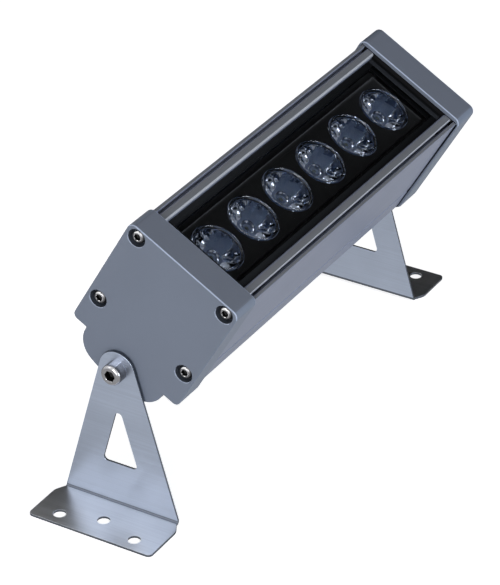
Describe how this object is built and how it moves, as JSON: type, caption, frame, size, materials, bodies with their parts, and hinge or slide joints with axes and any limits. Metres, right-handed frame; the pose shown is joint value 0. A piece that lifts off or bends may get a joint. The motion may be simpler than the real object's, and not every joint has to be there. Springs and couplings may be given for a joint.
{
  "type": "outdoor wall washer light",
  "caption": "Short bar-shaped outdoor wall washer light with a row of lenses behind glass, tilting between two bent steel feet.",
  "frame": {"origin": "on the mounting surface, at the centre of the rectangle of the four outer foot holes, below the pivot axis", "axes": "+Z away from the mounting surface; +Y along the lamp towards the cable gland; the lamp's face leans towards +X"},
  "size_m": [0.0791, 0.2364, 0.1252],
  "materials": {
    "housing": "satin grey coat over an aluminium extrusion",
    "cap_paint": "matt grey powder coat over cast aluminium",
    "front_glass": "clear toughened glass",
    "black_silicone": "matt silicone",
    "black_plastic": "matt black moulding",
    "gland_plastic": "black nylon",
    "clear_acrylic": "clear polished acrylic",
    "emitter": "phosphor under a clear dome",
    "white_board": "white solder mask over aluminium",
    "thermal_pad": "soft grey pad",
    "green_board": "green solder mask",
    "transformer_tape": "yellow tape round a dark core",
    "capacitor_sleeve": "dark sleeve",
    "ferrite": "wound choke",
    "terminal_plastic": "green moulding",
    "chip_resin": "black resin",
    "lead_sheath": "red sheath",
    "stainless_fasteners": "bright stainless steel",
    "brushed_stainless": "brushed stainless sheet",
    "nylon": "black nylon"
  },
  "bodies": {
    "lamp": {"housing": "housing", "left_end_cap": "cap_paint", "right_end_cap": "cap_paint", "front_glass": "front_glass", "glass_seal": "black_silicone", "left_cap_gasket": "black_silicone", "right_cap_gasket": "black_silicone", "gland_ring": "black_silicone", "gland_insert": "black_silicone", "lens_tray": "black_plastic", "gland_body": "gland_plastic", "gland_nut": "gland_plastic", "lens_1": "clear_acrylic", "lens_2": "clear_acrylic", "lens_3": "clear_acrylic", "lens_4": "clear_acrylic", "lens_5": "clear_acrylic", "lens_6": "clear_acrylic", "led_1": "emitter", "led_2": "emitter", "led_3": "emitter", "led_4": "emitter", "led_5": "emitter", "led_6": "emitter", "light_board": "white_board", "thermal_pad": "thermal_pad", "driver_board": "green_board", "transformer": "transformer_tape", "capacitors": "capacitor_sleeve", "choke": "ferrite", "terminal_block": "terminal_plastic", "driver_chips": "chip_resin", "led_leads": "lead_sheath", "light_board_screws": "stainless_fasteners", "left_cap_screws": "stainless_fasteners", "right_cap_screws": "stainless_fasteners", "left_pivot_bolt": "stainless_fasteners", "right_pivot_bolt": "stainless_fasteners", "left_friction_washer": "nylon", "right_friction_washer": "nylon"},
    "left_bracket": {"left_bracket": "brushed_stainless"},
    "right_bracket": {"right_bracket": "brushed_stainless"}
  },
  "joints": [
    {"name": "left_bracket_tilt", "type": "hinge", "parent": "lamp", "child": "left_bracket", "pos_m": [0, -0.0945, 0.0616], "axis": [0, 1, 0], "range_deg": [-60, 120]},
    {"name": "right_bracket_tilt", "type": "hinge", "parent": "lamp", "child": "right_bracket", "pos_m": [0, 0.0945, 0.0616], "axis": [0, 1, 0], "range_deg": [-60, 120]}
  ]
}
